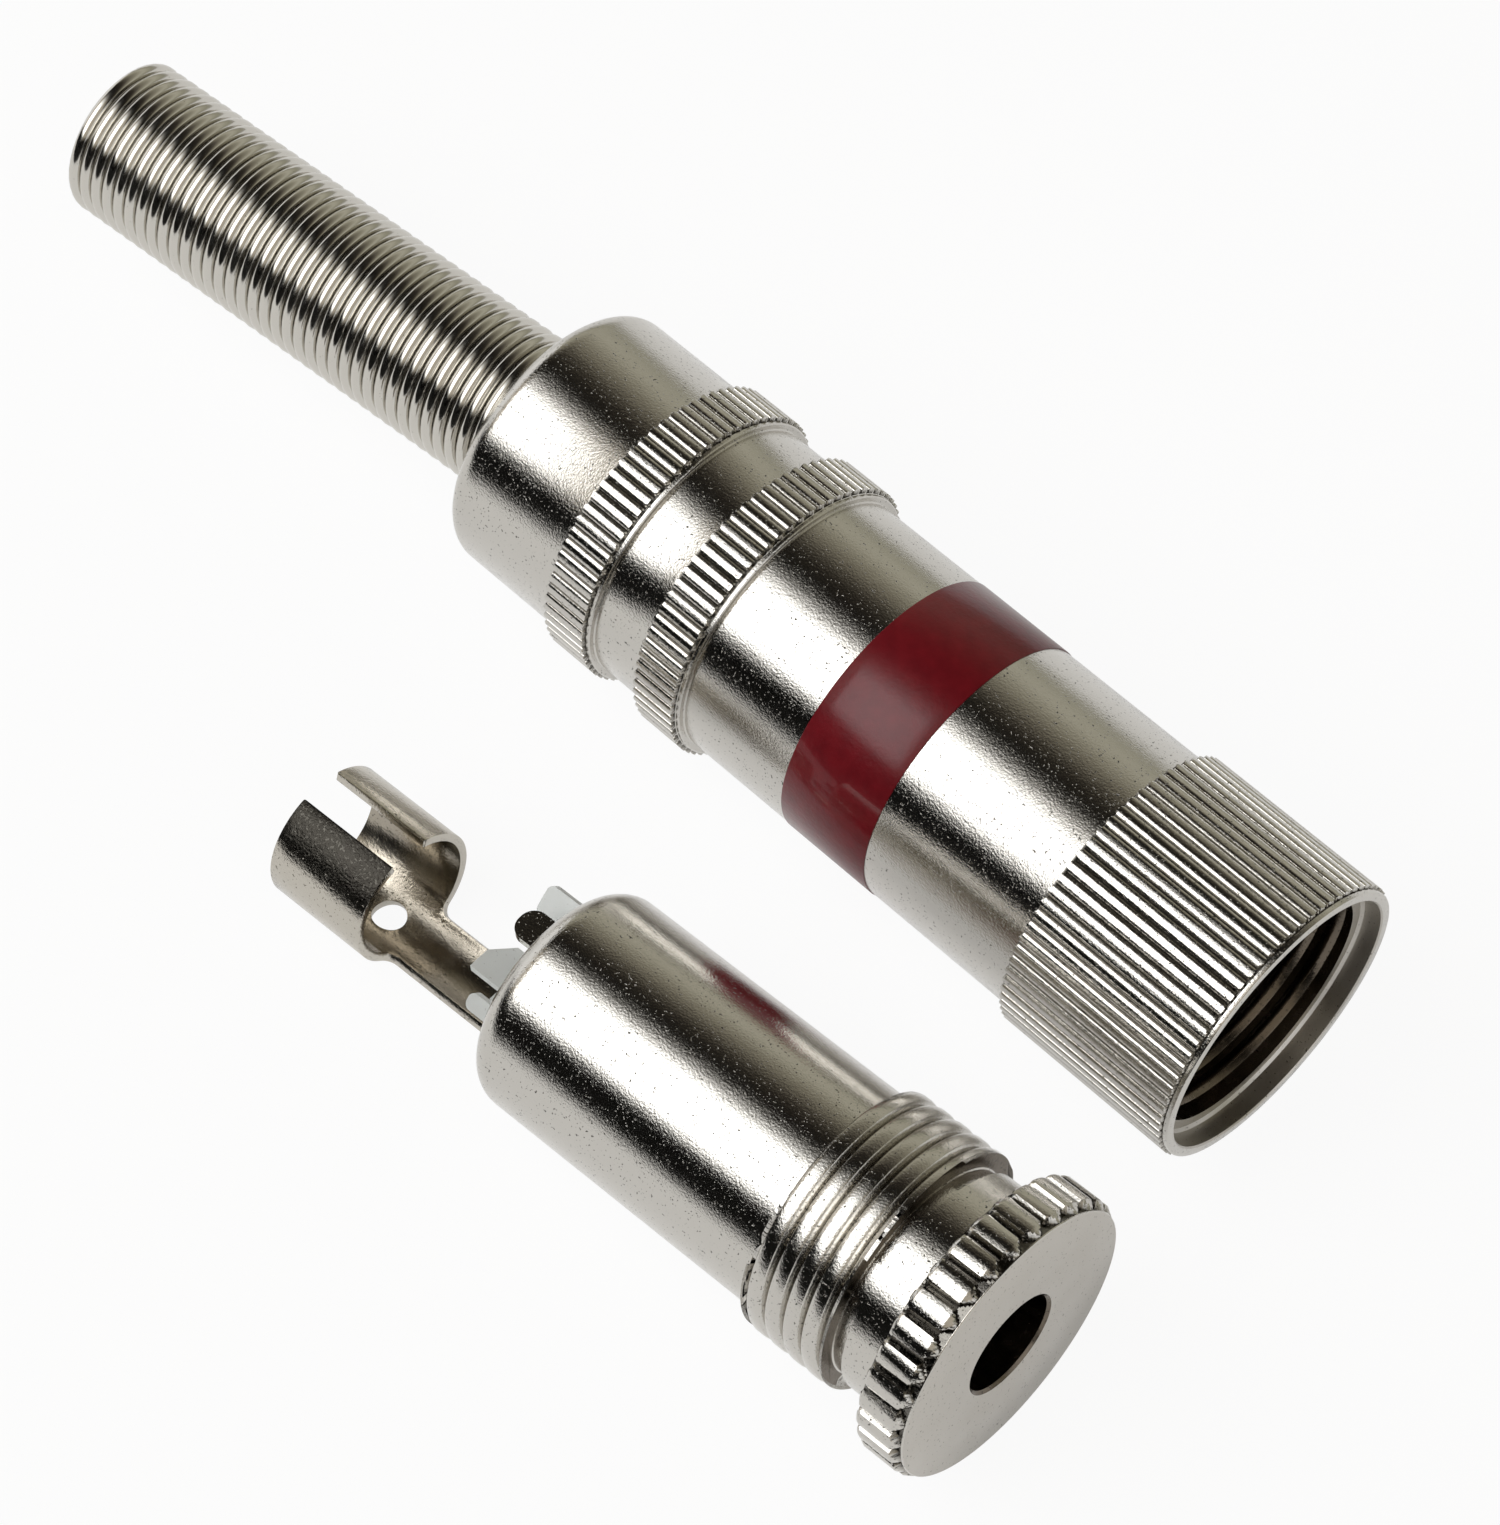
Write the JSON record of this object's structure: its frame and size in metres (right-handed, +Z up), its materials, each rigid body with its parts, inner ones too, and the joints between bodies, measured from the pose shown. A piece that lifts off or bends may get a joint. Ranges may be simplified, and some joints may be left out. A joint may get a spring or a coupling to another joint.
{
  "type": "inline jack socket",
  "caption": "Inline socket for a 3.5 mm jack plug, unscrewed: knurled metal shell with a red band and a coil-spring strain relief, beside the threaded socket core with its cable clamp.",
  "frame": {"origin": "middle of the footprint of the two halves as they lie, on the surface they lie on", "axes": "+X along the shell, towards its open mouth; +Y from the socket core to the shell; +Z up"},
  "size_m": [0.0556, 0.0248, 0.0109],
  "materials": {
    "nickel_plated_shell": "bright nickel plate on turned brass, slightly pitted",
    "nickel_plated_housing": "bright nickel plate on turned brass, slightly pitted",
    "plated_spring_wire": "bright nickel-plated spring wire",
    "nickel_plated_sheet": "nickel-plated brass sheet, grained by stamping",
    "tinned_contact": "tinned sheet, satin",
    "red_lacquer": "dark red lacquer, glossy",
    "black_moulding": "black moulded plastic, satin",
    "sleeve_film": "translucent insulating film"
  },
  "bodies": {
    "root": {"shell_body": "nickel_plated_shell", "marking_band": "red_lacquer", "insulating_sleeve": "sleeve_film", "strain_spring": "plated_spring_wire", "socket_housing": "nickel_plated_housing", "contact_carrier": "black_moulding", "rear_disc": "black_moulding", "tip_contact": "tinned_contact", "ring_contact": "tinned_contact", "sleeve_contact": "tinned_contact", "earthing_tab": "tinned_contact", "cable_clamp": "nickel_plated_sheet"}
  },
  "joints": []
}
